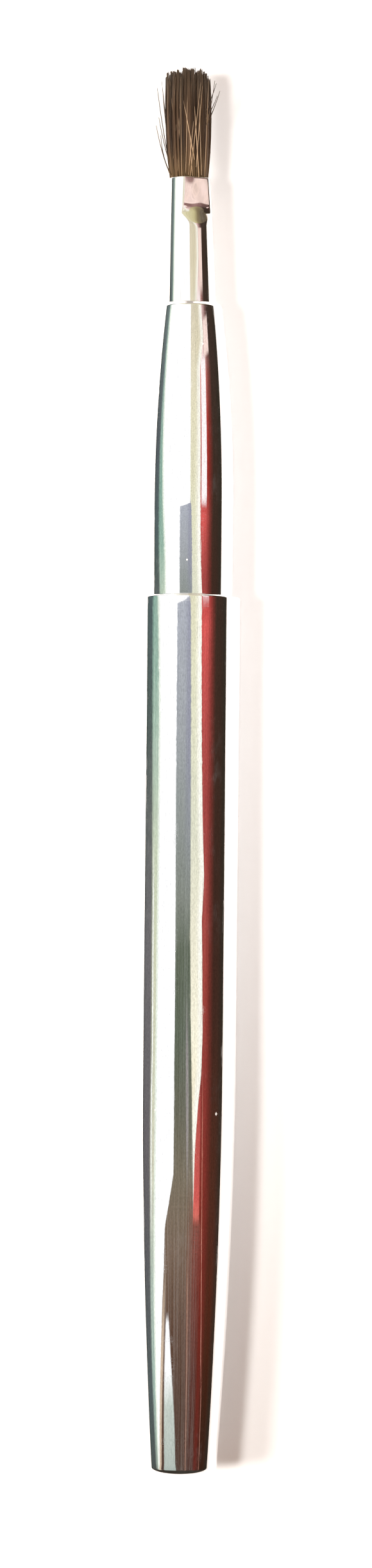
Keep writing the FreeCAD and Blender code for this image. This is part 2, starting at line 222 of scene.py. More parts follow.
class Graph:
    """The node tree of a material or world, with one method that adds any node."""

    def __init__(self, tree):
        self.tree = tree
        tree.nodes.clear()

    def node(self, kind, settings=None, inputs=None, output=0):
        """A node of any type: its settings first, then the values or links of its sockets."""
        made = self.tree.nodes.new(kind)
        for name, setting in (settings or {}).items():
            if name == "stops":
                set_stops(made.color_ramp, setting)
            else:
                setattr(made, name, setting)
        for name, value in (inputs or {}).items():
            socket = made.inputs[name]
            if isinstance(value, Value):
                self.tree.links.new(value.socket, socket)
            else:
                socket.default_value = value
        return Value(self, made.outputs[output]) if len(made.outputs) else made

    def math(self, operation, first, second=0.0):
        """A Math node on one or two values."""
        return self.node("ShaderNodeMath", {"operation": operation}, {0: first, 1: second})

    def place(self):
        """The point in the object's own coordinates."""
        return self.node("ShaderNodeTexCoord", output="Object")

    def scaled(self, vector, scale):
        """A vector times three numbers."""
        return self.node("ShaderNodeVectorMath", {"operation": "MULTIPLY"}, {0: vector, 1: scale})

    def parts(self, vector):
        """The x, y and z of a vector."""
        first = self.node("ShaderNodeSeparateXYZ", inputs={0: vector})
        return [Value(self, first.socket.node.outputs[axis]) for axis in range(3)]

    def noise(self, vector, scale=1.0, detail=2.0, roughness=0.5):
        """Smooth noise between 0 and 1 at a vector."""
        values = {"Vector": vector, "Scale": scale, "Detail": detail, "Roughness": roughness}
        return self.node("ShaderNodeTexNoise", None, values)

    def step(self, value, low, high):
        """0 below low, 1 above high, and a smooth rise between."""
        settings = {"interpolation_type": "SMOOTHSTEP"}
        return self.node("ShaderNodeMapRange", settings, {0: value, 1: low, 2: high, 3: 0.0, 4: 1.0})

    def blend(self, factor, first, second):
        """A colour between two colours."""
        made = self.node("ShaderNodeMix", {"data_type": "RGBA"}, {0: factor, 6: first, 7: second}, 2)
        return made

    def shades(self, value, stops):
        """A colour that follows a value through a list of stops, each a value and a colour."""
        low, high = stops[0][0], stops[-1][0]
        placed = [((at - low) / (high - low), shade) for at, shade in stops]
        share = (value - low) / (high - low)
        return self.node("ShaderNodeValToRGB", {"stops": placed}, {"Fac": share})

    def track(self, value, stops):
        """A number that follows a value through a list of stops, in straight runs."""
        numbers = [number for _, number in stops]
        low, reach = min(numbers), max(numbers) - min(numbers)
        greys = [(at, colour(*[(number - low) / reach] * 3)) for at, number in stops]
        return self.shades(value, greys) * reach + low

    def band(self, value, low, high, soft):
        """1 between low and high, 0 outside, with soft edges."""
        return self.step(value, low - soft, low + soft) * (1 - self.step(value, high - soft, high + soft))

    def bump(self, height, distance, strength=1.0, normal=None):
        """A normal bent by a height, over another bent normal where one is given."""
        values = {"Height": height, "Distance": distance, "Strength": strength}
        if normal is not None:
            values["Normal"] = normal
        return self.node("ShaderNodeBump", None, values)

    def surface(self, **sockets):
        """A Principled surface joined to the output; underscores stand for spaces in its sockets."""
        named = {name.replace("_", " "): value for name, value in sockets.items()}
        shader = self.node("ShaderNodeBsdfPrincipled", None, named)
        self.node("ShaderNodeOutputMaterial", None, {"Surface": shader})


def new_material(name):
    """An empty node material and the graph that fills it."""
    material = bpy.data.materials.new(name)
    material.use_nodes = True
    return material, Graph(material.node_tree)


def colour(red, green, blue):
    """A linear colour with full alpha."""
    return (red, green, blue, 1.0)


# ---------------------------------------------------------------------------- finishes


def mirror_metal(name, tint, waviness, base_roughness=0.02):
    """Plated mirror metal: slightly wavy wall, hairline wear, finger smears, dust and one pale dull fleck."""
    material, graph = new_material(name)
    place = graph.place()
    smear = graph.step(graph.noise(graph.scaled(place, (230, 75, 230)), 1.0, 5.0, 0.62), 0.5, 0.76)
    patchy = graph.step(graph.noise(graph.scaled(place, (1500, 700, 1500)), 1.0, 4.0, 0.7), 0.42, 0.7)
    haze = smear * patchy
    long_lines = graph.noise(graph.scaled(place, (2600, 110, 2600)), 1.0, 2.0, 0.6)
    long_lines = 1 - graph.step(abs(long_lines - 0.5), 0.0, 0.012)
    cross_lines = graph.noise(graph.scaled(place, (260, 3100, 260)), 1.0, 2.0, 0.5)
    cross_lines = 1 - graph.step(abs(cross_lines - 0.5), 0.0, 0.008)
    worn = graph.step(graph.noise(place, 210.0, 3.0, 0.6), 0.5, 0.68)
    lines = (long_lines * 0.7 + cross_lines * 0.5) * worn
    cells = graph.node("ShaderNodeTexVoronoi", None, {"Vector": place, "Scale": 800.0}, "Distance")
    chance = graph.parts(Value(graph, cells.socket.node.outputs["Color"]))[0]
    speck = (1 - graph.step(cells, 0.035, 0.085)) * (chance > 0.91)
    ripple = graph.noise(graph.scaled(place, (1100, 700, 1100)), 1.0, 2.0, 0.5)
    across, lengthwise, _ = graph.parts(place)
    # one pale, rough, less metallic fleck at a fixed place on the handle, joined to the dust specks
    fleck_reach = abs(across - FLECK_ACROSS) * 1.7 + abs(lengthwise - FLECK_ALONG) + ripple * 0.15 * MM
    speck = graph.math("MAXIMUM", speck, 1 - graph.step(fleck_reach, 0.2 * MM, 0.26 * MM))
    roughness = base_roughness + smear * 0.02 + lines * 0.1 + speck * 0.5
    dulled = graph.blend(smear * 0.15 + lines * 0.3, colour(*tint), colour(0.66, 0.65, 0.63))
    shade = graph.blend(speck, dulled, colour(0.78, 0.76, 0.72))
    wave = graph.noise(graph.scaled(place, (130, 85, 130)), 1.0, 1.0, 0.4)
    wall = graph.bump(ripple, 9e-7, 1.0, graph.bump(wave, waviness))
    worn_wall = graph.bump(lines * -0.4 + speck * 1.5, 2e-6, 1.0, wall)
    graph.surface(Base_Color=shade, Metallic=1 - speck - haze * 0.055, Roughness=roughness, Normal=worn_wall)
    return material


def drawn_metal(name, tint, roughness):
    """Satin metal with drawing lines along its length."""
    material, graph = new_material(name)
    place = graph.place()
    lines = graph.noise(graph.scaled(place, (3000, 40, 3000)), 1.0, 3.0, 0.6)
    stain = graph.noise(place, 180.0, 3.0, 0.6)
    shade = graph.blend(stain, colour(*tint), colour(*[part * 0.8 for part in tint]))
    graph.surface(Base_Color=shade, Metallic=1.0, Roughness=roughness + lines * 0.2,
                  Normal=graph.bump(lines, 3e-6))
    return material


def moulded_plastic(name, tint, roughness):
    """Moulded plastic: fine grain and a little cloudiness."""
    material, graph = new_material(name)
    place = graph.place()
    cloud = graph.noise(place, 260.0, 4.0, 0.6)
    grain = graph.noise(place, 4200.0, 3.0, 0.6)
    shade = graph.blend(cloud * 0.6, colour(*tint), colour(*[part * 0.7 for part in tint]))
    graph.surface(Base_Color=shade, Roughness=roughness + grain * 0.15, Normal=graph.bump(grain, 8e-6))
    return material


def soft_rubber(name):
    """Dull black rubber with a bloom of fine dust."""
    material, graph = new_material(name)
    place = graph.place()
    bloom = graph.noise(place, 900.0, 4.0, 0.7)
    shade = graph.blend(bloom * 0.5, colour(0.02, 0.02, 0.02), colour(0.09, 0.085, 0.08))
    graph.surface(Base_Color=shade, Roughness=0.7 + bloom * 0.2, Normal=graph.bump(bloom, 1e-5))
    return material


def set_adhesive(name):
    """Set amber adhesive with small bubbles."""
    material, graph = new_material(name)
    place = graph.place()
    bubbles = graph.node("ShaderNodeTexVoronoi", None, {"Vector": place, "Scale": 2600.0}, "Distance")
    cloud = graph.noise(place, 700.0, 3.0, 0.6)
    shade = graph.blend(cloud, colour(0.42, 0.24, 0.07), colour(0.62, 0.43, 0.19))
    graph.surface(Base_Color=shade, Roughness=0.12 + cloud * 0.15, Normal=graph.bump(bubbles, 3e-5))
    return material


def waxed_thread(name):
    """Waxed thread: slanting twist lines across each turn."""
    material, graph = new_material(name)
    x, y, z = graph.parts(graph.place())
    around = graph.math("ARCTAN2", x, z - AXIS_HEIGHT)
    twist = graph.math("SINE", around * 60 + y * 26000)
    fuzz = graph.noise(graph.place(), 5200.0, 3.0, 0.7)
    shade = graph.blend(twist * 0.3 + fuzz * 0.5, colour(0.36, 0.3, 0.21), colour(0.66, 0.59, 0.47))
    graph.surface(Base_Color=shade, Roughness=0.6 + fuzz * 0.2, Normal=graph.bump(twist, 1.5e-5))
    return material


def natural_hair(name):
    """Hair: each strand has its own brown, golden at the root, with a soft gloss."""
    material, graph = new_material(name)
    strand = graph.node("ShaderNodeAttribute", {"attribute_name": "strand"}, output="Fac")
    reach = graph.node("ShaderNodeAttribute", {"attribute_name": "reach"}, output="Fac")
    place = graph.place()
    patch = graph.noise(graph.scaled(place, (1500, 300, 1500)), 1.0, 3.0, 0.6)
    dark = graph.blend(strand * 1.3, colour(0.017, 0.009, 0.005), colour(0.135, 0.078, 0.043))
    pale = graph.step(strand, 0.82, 0.97)
    brown = graph.blend(pale, dark, colour(0.5, 0.34, 0.21))
    root = (1 - graph.step(reach, 0.05, 0.45)) * (0.2 + patch * 0.6)
    warm = graph.blend(root * 0.55, brown, colour(0.34, 0.21, 0.09))
    dusty = graph.blend(graph.step(reach, 0.66, 1.0) * 0.45, warm, colour(0.16, 0.12, 0.085))
    banded = graph.blend(patch * 0.35, dusty, colour(0.05, 0.03, 0.02))
    graph.surface(Base_Color=banded, Roughness=0.36 + patch * 0.2, Normal=graph.bump(patch, 4e-6))
    return material


MIRROR = mirror_metal("mirror_metal", (0.93, 0.93, 0.935), 4.5e-5)
FERRULE_FINISH = mirror_metal("ferrule_metal", (0.9, 0.885, 0.87), 3e-5, 0.05)
ROD_FINISH = drawn_metal("rod_metal", (0.62, 0.63, 0.65), 0.25)
DARK_PLASTIC = moulded_plastic("dark_plastic", (0.03, 0.03, 0.032), 0.35)
PALE_PLASTIC = moulded_plastic("pale_plastic", (0.6, 0.58, 0.52), 0.4)
RUBBER = soft_rubber("soft_rubber")
ADHESIVE = set_adhesive("set_adhesive")
THREAD = waxed_thread("thread")
HAIR = natural_hair("hair")

NODE_FINISH = {
    "handle_tube": MIRROR, "sleeve_tube": MIRROR, "ferrule": FERRULE_FINISH,
    "mouth_bush": PALE_PLASTIC, "butt_plug": PALE_PLASTIC, "core_rod": ROD_FINISH,
    "stop_bush": DARK_PLASTIC, "nose_guide": DARK_PLASTIC, "guide_collar": DARK_PLASTIC,
    "ferrule_adapter": DARK_PLASTIC, "stop_washer": RUBBER, "friction_ring": RUBBER,
    "adhesive_plug": ADHESIVE, "binding_thread": THREAD, "bristle_tuft": HAIR,
}
for node_name, finish in NODE_FINISH.items():
    node_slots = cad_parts[node_name].material_slots
    for node_slot in node_slots:
        node_slot.material = finish


def dress(piece, finish, slot_name, body, *nodes):
    """Give a finished piece its material and its body, and hide the CAD nodes it stands for; the slot name is not
    used.
    """
    piece.data.materials.append(finish)
    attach(piece, body)
    if nodes:
        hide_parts(*nodes)
    return piece


# ------------------------------------------------------------------------ metal tubes


def handle_profile():
    """Half section of the handle: domed butt, rounded edge, long taper, grip, lip and bore."""
    dome_radius = 14.7 * MM
    edge_radius = 0.7 * MM
    edge_start = -78.4
    edge_centre = (2.832 * MM, BUTT + 0.988 * MM)
    taper_start = BUTT + TAPER_LENGTH
    taper_centre = (HANDLE_RADIUS - TAPER_ARC, taper_start)
    outer_low = math.degrees(math.asin((TAPER_LENGTH - 0.935 * MM) / TAPER_ARC))
    floor = BUTT + 1.1 * MM
    inner_arc = TAPER_ARC - HANDLE_WALL
    inner_low = math.degrees(math.asin((taper_start - floor) / inner_arc))
    bore = HANDLE_RADIUS - HANDLE_WALL
    lip_centre = ((HANDLE_RADIUS + bore) / 2, BUTT + HANDLE_LENGTH - HANDLE_WALL / 2)
    floor_radius = taper_centre[0] + inner_arc * math.cos(math.radians(inner_low))
    return np.concatenate([
        arc((0, BUTT + dome_radius), dome_radius, -90, edge_start, 14),
        arc(edge_centre, edge_radius, edge_start, -outer_low, 14)[1:],
        arc(taper_centre, TAPER_ARC, -outer_low, 0, 70)[1:],
        arc(lip_centre, HANDLE_WALL / 2, 0, 180, 12),
        arc(taper_centre, inner_arc, 0, -inner_low, 24),
        straight((floor_radius - 0.01 * MM, floor), (0, floor), 6),
    ])


def sleeve_profile():
    """Half section of the sleeve: straight tube, curved nose, rounded mouth and bore."""
    nose_start = SLEEVE_MOUTH - NOSE_LENGTH
    centre = (SLEEVE_RADIUS - NOSE_ARC, nose_start)
    turn = math.asin(NOSE_LENGTH / NOSE_ARC)
    mouth_radius = centre[0] + NOSE_ARC * math.cos(turn)
    lip = (mouth_radius - NOSE_BORE) / 2
    bore_end = SLEEVE_MOUTH - NOSE_LIP_DEPTH
    inner_arc = NOSE_ARC - SLEEVE_WALL
    inner_turn = math.asin((bore_end - nose_start) / inner_arc)
    inner_mouth = centre[0] + inner_arc * math.cos(inner_turn)
    return np.concatenate([
        straight((SLEEVE_RADIUS - SLEEVE_WALL, SLEEVE_BACK), (SLEEVE_RADIUS, SLEEVE_BACK)),
        arc(centre, NOSE_ARC, 0, math.degrees(turn) * 0.996, 64),
        arc((NOSE_BORE + lip, SLEEVE_MOUTH - lip), lip, 7, 180, 12),
        straight((NOSE_BORE, SLEEVE_MOUTH - lip * 1.2), (NOSE_BORE, bore_end)),
        straight((NOSE_BORE + 0.01 * MM, bore_end), (inner_mouth, bore_end)),
        arc(centre, inner_arc, math.degrees(inner_turn), 0, 24)[1:],
    ])


dress(turned_cup("handle_shell", handle_profile(), 288), MIRROR, "mirror_metal", "handle", "handle_tube")
dress(turned_ring("sleeve_shell", sleeve_profile(), 288), MIRROR, "mirror_metal", "sleeve", "sleeve_tube")


# ----------------------------------------------------------------------------- ferrule


def soft_min(first, second, blend):
    """The smaller of two lengths, with the crease between them rounded."""
    return -blend * np.logaddexp(-first / blend, -second / blend)


def ferrule_radius(angle, below, inset):
    """Radius of the ferrule: a cone, pressed by two flats that slope away below their shoulder.

    A flat stands at its distance over the cosine of the angle from its middle; below the
    shoulder the power of that cosine falls, so the slope is scooped round instead of plane.
    """
    rise = (FERRULE_RADIUS - FERRULE_MOUTH_RADIUS) * np.clip(below / FERRULE_TAPER, 0, 1)
    cone = FERRULE_MOUTH_RADIUS + rise - inset
    round_off = 0.1 * MM
    past = round_off * np.logaddexp(0, (below - FLAT_LENGTH) / round_off)
    press = FLAT_DISTANCE - inset + SHOULDER_SLOPE * past
    facing = np.maximum(np.abs(np.cos(angle - FLAT_TURN)), 0.05)
    scoop = np.clip((below - FLAT_LENGTH) / (0.6 * MM), 0, 1)
    dent = 0.012 * MM * np.sin(angle * 5 + 1.3) * np.sin(below / (0.7 * MM))
    return soft_min(cone, press / facing ** (0.98 - 0.5 * scoop) + dent, 0.03 * MM)


def make_ferrule():
    """Grid of angle and distance below the mouth, out along the wall and back inside it."""
    sides = 288
    angle = np.arange(sides) / sides * 2 * math.pi
    fine = np.linspace(0.1 * MM, 6.5 * MM, 90)
    outer = np.concatenate([[FERRULE_LENGTH, 14 * MM, FERRULE_TAPER], np.linspace(12 * MM, 6.7 * MM, 12), fine[::-1]])
    lip_turn = np.radians(np.linspace(15, 165, 7))
    lip_below = 0.1 * MM - 0.1 * MM * np.sin(lip_turn)
    lip_inset = FERRULE_WALL * (1 - np.cos(lip_turn)) / 2
    inner = np.concatenate([np.linspace(0.1 * MM, 6.5 * MM, 40), [9 * MM, FERRULE_TAPER, FERRULE_LENGTH]])
    below = np.concatenate([outer, lip_below, inner])
    inset = np.concatenate([np.zeros(len(outer)), lip_inset, np.full(len(inner), FERRULE_WALL)])
    radius = ferrule_radius(angle[None, :], below[:, None], inset[:, None])
    points = leaned(turned_points(radius, FERRULE_MOUTH - below, sides))
    return add_mesh("ferrule_shell", points, [ring_faces(len(below), sides, True)])


dress(make_ferrule(), FERRULE_FINISH, "ferrule_metal", "handle", "ferrule")


# -------------------------------------------------------------------------------- hair


def hair_mesh(name, paths, thickness, tip_share, strand):
    """Thin three-sided tapering tubes, one for each path of points; paths is hair, step, xyz."""
    count, steps, _ = paths.shape
    sides = 3
    along = np.gradient(paths, axis=1)
    along /= np.linalg.norm(along, axis=2, keepdims=True)
    across = np.cross(along, np.array([0.31, 0.05, 0.95]))
    across /= np.linalg.norm(across, axis=2, keepdims=True)
    upward = np.cross(across, along)
    share = np.linspace(0, 1, steps)
    radius = thickness[:, None] / 2 * (1 - (1 - tip_share) * share ** 2)
    angle = np.arange(sides) / sides * 2 * math.pi + rng.uniform(0, 2 * math.pi, (count, 1, 1))
    offset = np.cos(angle)[..., None] * across[:, :, None] + np.sin(angle)[..., None] * upward[:, :, None]
    points = paths[:, :, None] + radius[:, :, None, None] * offset
    start = (np.arange(count) * steps * sides)[:, None, None]
    tube = ring_faces(steps, sides, False)
    quads = (start + tube[None]).reshape(-1, 4)
    first_cap = start[:, 0] + np.array([2, 1, 0])
    last_cap = start[:, 0] + (steps - 1) * sides + np.array([0, 1, 2])
    piece = add_mesh(name, points.reshape(-1, 3), [quads, first_cap, last_cap])
    for label, values in (("strand", np.repeat(strand, steps * sides)),
                          ("reach", np.tile(np.repeat(share, sides), count))):
        piece.data.attributes.new(label, "FLOAT", "POINT").data.foreach_set("value", values.astype(np.float32))
    return piece


def head_place(wide, deep, beyond):
    """Points beside the head's axis, wide and deep in the ferrule's flattened directions."""
    cos, sin = math.cos(FLAT_TURN), math.sin(FLAT_TURN)
    x = wide * cos + deep * sin
    z = AXIS_HEIGHT - wide * sin + deep * cos
    flat = np.stack(np.broadcast_arrays(x, FERRULE_MOUTH + beyond, z), axis=-1)
    return leaned(flat.reshape(-1, 3)).reshape(flat.shape)


def bend_between(start, middle, end, steps):
    """Points on a quadratic curve from start to end, pulled towards middle."""
    share = np.linspace(0, 1, steps)[None, :, None]
    return (1 - share) ** 2 * start[:, None] + 2 * share * (1 - share) * middle[:, None] + share ** 2 * end[:, None]


def make_tuft():
    """Packed hairs from the ferrule's mouth to a straight cut, gathered in loose locks.

    Roots fill the flattened mouth evenly; the middles bulge and the tips draw towards the
    nearest lock, so dark gaps open between the locks.  Each lock has its own cut and shade.
    """
    count, lock_count = 2400, 95
    reach = np.sqrt(rng.uniform(0, 1, count))
    turn = rng.uniform(0, 2 * math.pi, count)
    unit = np.stack([reach * np.cos(turn), reach * np.sin(turn)], axis=1)
    lock_turn = rng.uniform(0, 2 * math.pi, lock_count)
    lock_reach = np.sqrt(rng.uniform(0.02, 1, lock_count))[:, None]
    locks = lock_reach * np.stack([np.cos(lock_turn), np.sin(lock_turn)], axis=1)
    nearest = np.argmin(((unit[:, None] - locks[None]) ** 2).sum(2), axis=1)
    gather = rng.uniform(0.35, 0.95, (count, 1))
    tip_spread = unit + (locks[nearest] - unit) * gather + rng.normal(0, 0.035, (count, 2))
    tip_spread /= np.maximum(1, np.linalg.norm(tip_spread, axis=1, keepdims=True))
    middle_spread = unit + (locks[nearest] - unit) * gather * 0.5
    root = head_place(unit[:, 0] * 1.77 * MM, unit[:, 1] * 1.34 * MM, np.full(count, -0.7 * MM))
    cut = 0.28 * MM - rng.uniform(0, 1, lock_count) ** 1.3 * 0.95 * MM
    length = HAIR_REACH + cut[nearest] - np.abs(rng.normal(0, 0.2 * MM, count))
    length -= 0.2 * MM * reach ** 6
    length -= (rng.uniform(0, 1, count) > 0.9) * rng.uniform(0.3, 2.4, count) * MM
    wide_middle, wide_tip = 2.42 * MM, 2.2 * MM
    tip = head_place(tip_spread[:, 0] * wide_tip, tip_spread[:, 1] * 1.7 * MM, length)
    middle = head_place(middle_spread[:, 0] * wide_middle, middle_spread[:, 1] * 1.8 * MM, length * 0.42)
    middle[:, [0, 2]] += rng.normal(0, 0.08 * MM, (count, 2))
    lock_shade = rng.uniform(0, 1, lock_count)[nearest] ** 1.6
    strand = np.clip(lock_shade * 0.45 + rng.uniform(0, 1, count) ** 2 * 0.4, 0, 0.8)
    strand[rng.uniform(0, 1, count) > 0.95] = 0.93
    thickness = rng.uniform(0.06, 0.11, count) * MM
    return hair_mesh("hair_tuft", bend_between(root, middle, tip, 7), thickness, 0.5, strand)


dress(make_tuft(), HAIR, "hair", "handle", "bristle_tuft")


def make_front_hairs():
    """Paler loose hairs that cross the tuft's upper face, some of them slanting."""
    # place across at the root and at the tip, then where it starts and ends above the mouth, mm
    crossing = [
        (0.15, 1.2, 0.0, 8.9), (0.55, -0.45, 1.6, 7.2), (0.7, 1.35, 0.9, 8.6), (-1.5, -2.0, 1.2, 9.9),
        (-1.25, -1.75, 3.6, 9.6), (-1.05, -0.7, 0.0, 9.2), (1.5, 1.95, 0.1, 9.4), (-0.3, -0.05, 0.0, 7.8),
        (-0.05, 0.5, 0.2, 5.2), (0.95, 0.6, 0.0, 6.6), (-1.6, -1.15, 0.0, 4.9), (-0.65, -1.0, 0.3, 6.9),
        (0.35, 0.1, 0.1, 4.1), (1.2, 1.0, 0.2, 7.6),
    ]
    across_root, across_tip, start, end = np.array(crossing).T * MM
    sheer = head_place(0.0, 0.0, 0.0)
    paths = []
    for share in (0.0, 0.5, 1.0):
        across = across_root * (1 - share) + across_tip * share
        beyond = start + (end - start) * share
        swell = (1.38 + 0.32 * np.minimum(beyond / (4 * MM), 1)) * MM
        above = swell * np.sqrt(np.clip(1 - (across / (2.2 * MM)) ** 2, 0.05, 1)) + 0.03 * MM
        paths.append(np.stack([sheer[0] - beyond * math.sin(HEAD_LEAN) + across, FERRULE_MOUTH + beyond,
                               AXIS_HEIGHT + above], axis=1))
    count = len(crossing)
    curved = bend_between(paths[0], paths[1] * 2 - (paths[0] + paths[2]) / 2, paths[2], 9)
    strand = rng.uniform(0.88, 1.0, count)
    return hair_mesh("front_hairs", curved, rng.uniform(0.075, 0.11, count) * MM, 0.5, strand)


dress(make_front_hairs(), HAIR, "hair", "handle")


def make_stray_hairs():
    """A few hairs that have sprung out of the tuft at its two sides."""
    # side, then how far out the bend and the tip stand, then the height of start and tip, mm, and shade
    strays = [
        (-1, 2.35, 2.95, 0.6, 8.4, 0.1), (-1, 2.5, 2.62, 0.2, 3.9, 0.0), (-1, 2.12, 2.42, 1.6, 7.9, 0.2),
        (-1, 2.3, 2.8, 0.9, 5.6, 0.1), (-1, 2.1, 2.55, 2.0, 9.2, 0.3), (-1, 2.5, 3.05, 0.1, 4.9, 0.5),
        (1, 2.3, 2.95, 5.0, 8.3, 0.2), (1, 2.2, 2.7, 5.6, 7.7, 0.1), (1, 2.1, 2.45, 4.8, 9.1, 0.3),
        (1, 2.1, 2.6, 6.4, 8.9, 0.0),
    ]
    side, bend, out, start, end, shade = np.array(strays, dtype=float).T
    lean = -end * math.sin(HEAD_LEAN) * MM
    height = AXIS_HEIGHT + rng.uniform(0.3, 1.1, len(side)) * MM
    first = np.stack([side * 1.62 * MM + lean * 0.2, FERRULE_MOUTH + start * MM, height], axis=1)
    last = np.stack([side * out * MM + lean * 0.6, FERRULE_MOUTH + end * MM, height + 0.3 * MM], axis=1)
    middle = np.stack([side * bend * MM + lean * 0.4, FERRULE_MOUTH + (start * 0.6 + end * 0.4) * MM, height], axis=1)
    base = head_place(0.0, 0.0, 0.0)[0]
    paths = bend_between(first, middle, last, 9)
    paths[:, :, 0] += base
    return hair_mesh("stray_hairs", paths, np.full(len(side), 0.1 * MM), 0.5, shade)


stray_hairs = dress(make_stray_hairs(), HAIR, "hair", "handle")
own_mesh(stray_hairs)


# ------------------------------------------------------------------- floor, tent, light


def plain_floor():
    """A wide pale floor that the handle lies on."""
    half = 1.2
    corners = np.array([[-half, -half, 0], [half, -half, 0], [half, half, 0], [-half, half, 0]])
    floor = add_mesh("floor", corners, [np.array([[0, 1, 2, 3]])], False)
    material, graph = new_material("pale_paper")
    fibre = graph.noise(graph.place(), 900.0, 3.0, 0.6)
    shade = graph.blend(fibre * 0.25, colour(0.93, 0.925, 0.915), colour(0.87, 0.865, 0.85))
    graph.surface(Base_Color=shade, Roughness=0.9)
    floor.data.materials.append(material)


TENT_RADIUS = 0.08
TENT_HALF_LENGTH = 0.2
CARD_GAIN = 1.16


def card(red, green, blue):
    """The light of a card that shows as this screen colour in the mirror metal."""
    return colour(*[(level / 255) ** 2.2 / 1.08 for level in (red, green, blue)])


WHITE_CARD = colour(1.0, 1.0, 1.0)


def left_cards(graph, angle, along, streak):
    """Left side: a dark edge, a green-grey card beside it, and the pale fall-off of the window."""
    step, blend = graph.step, graph.blend
    dark_end = graph.track(along, [(-92, -74), (-70, -79), (-50, -76), (-30, -73), (-10, -74), (2, -76),
                                   (20, -80), (40, -82), (60, -81), (80, -78)])
    green_end = graph.track(along, [(-92, -68), (-75, -70), (-60, -68), (-40, -63), (0, -61), (15, -62),
                                    (22, -64), (35, -71), (50, -77), (80, -76)])
    dark = graph.shades(along, [(-92, card(76, 76, 72)), (-75, card(84, 94, 94)), (-55, card(94, 94, 96)),
                                (-40, card(104, 100, 102)), (-15, card(108, 106, 108)), (0, card(98, 102, 100)),
                                (15, card(82, 94, 91)), (24, card(84, 98, 98)), (40, card(88, 94, 98)),
                                (60, card(108, 120, 118)), (80, card(126, 138, 136))])
    green = graph.shades(along, [(-92, card(134, 136, 126)), (-75, card(144, 172, 162)), (-60, card(170, 186, 174)),
                                 (-45, card(204, 202, 180)), (-20, card(206, 208, 180)), (-4, card(198, 208, 182)),
                                 (8, card(164, 188, 170)), (20, card(132, 168, 152)), (35, card(128, 164, 150)),
                                 (60, card(150, 176, 166)), (80, card(184, 202, 194))])
    green = blend(streak * 0.5, green, card(222, 230, 214))
    side = blend(step(angle, green_end - 2.5, green_end + 0.5), green, card(232, 240, 226))
    side = blend(step(angle, green_end + 1, green_end + 6), side, WHITE_CARD)
    side = blend(step(angle, dark_end - 4.0, dark_end + 3.0), dark, side)
    line = graph.band(angle, dark_end + 1.2, dark_end + 2.8, 0.5) * graph.band(along, -52, -6, 5)
    side = blend(line, side, WHITE_CARD)
    deep = (1 - step(angle, -101, -88)) * 0.7
    return blend(deep, side, card(58, 64, 60))


def middle_cards(graph, angle, along, streak):
    """Overhead: a grey panel that turns dark green, then brown, with a pale card low on its left."""
    blend = graph.blend
    panel = graph.shades(along, [(-92, card(66, 44, 34)), (-80, card(78, 54, 42)), (-68, card(92, 68, 55)),
                                 (-58, card(112, 92, 76)), (-48, card(114, 104, 86)), (-38, card(98, 97, 82)),
                                 (-28, card(88, 96, 80)), (-16, card(92, 100, 84)), (-9, card(126, 131, 122)),
                                 (4, card(142, 148, 146)), (14, card(158, 162, 166)), (31, card(172, 176, 186))])
    violet = graph.step(angle, -8.0, 8.0) * graph.step(along, -12.0, 16.0)
    panel = blend(violet * 0.75, panel, card(140, 140, 160))
    strip_at = graph.track(along, [(-50, 9), (-24, 4)])
    strip = graph.band(angle, strip_at, strip_at + 5, 1.5) * graph.band(along, -46, -26, 6)
    panel = blend(strip * 0.6, panel, card(172, 162, 164))
    red_brown = graph.shades(along, [(-92, card(66, 34, 26)), (-75, card(84, 38, 30)), (-60, card(116, 52, 42)),
                                     (-50, card(126, 62, 50))])
    lower = (1 - graph.step(along, -56, -46)) * graph.step(angle, 2 + streak * 8, 34)
    panel = blend(lower, panel, red_brown)
    panel = blend((1 - graph.step(along, -54, -40)) * streak * 0.3, panel, card(150, 116, 98))
    panel = blend(streak * 0.22, panel, card(196, 200, 196))
    glint = graph.track(along, [(-92, 17), (-60, 12)])
    glint = graph.band(angle, glint, glint + 3.5, 1.5) * (1 - graph.step(along, -66, -56))
    panel = blend(glint * 0.45, panel, card(190, 146, 126))
    left = graph.track(along, [(-92, -50), (-75, -43), (-66, -36)])
    right = graph.track(along, [(-92, -11), (-82, -16), (-75, -23), (-66, -31)])
    pale = graph.shades(along, [(-92, card(172, 182, 174)), (-80, card(196, 205, 196)), (-74, WHITE_CARD)])
    patch = graph.band(angle, left, right, 1.8) * (1 - graph.step(along, -68, -66))
    return blend(patch, panel, pale)


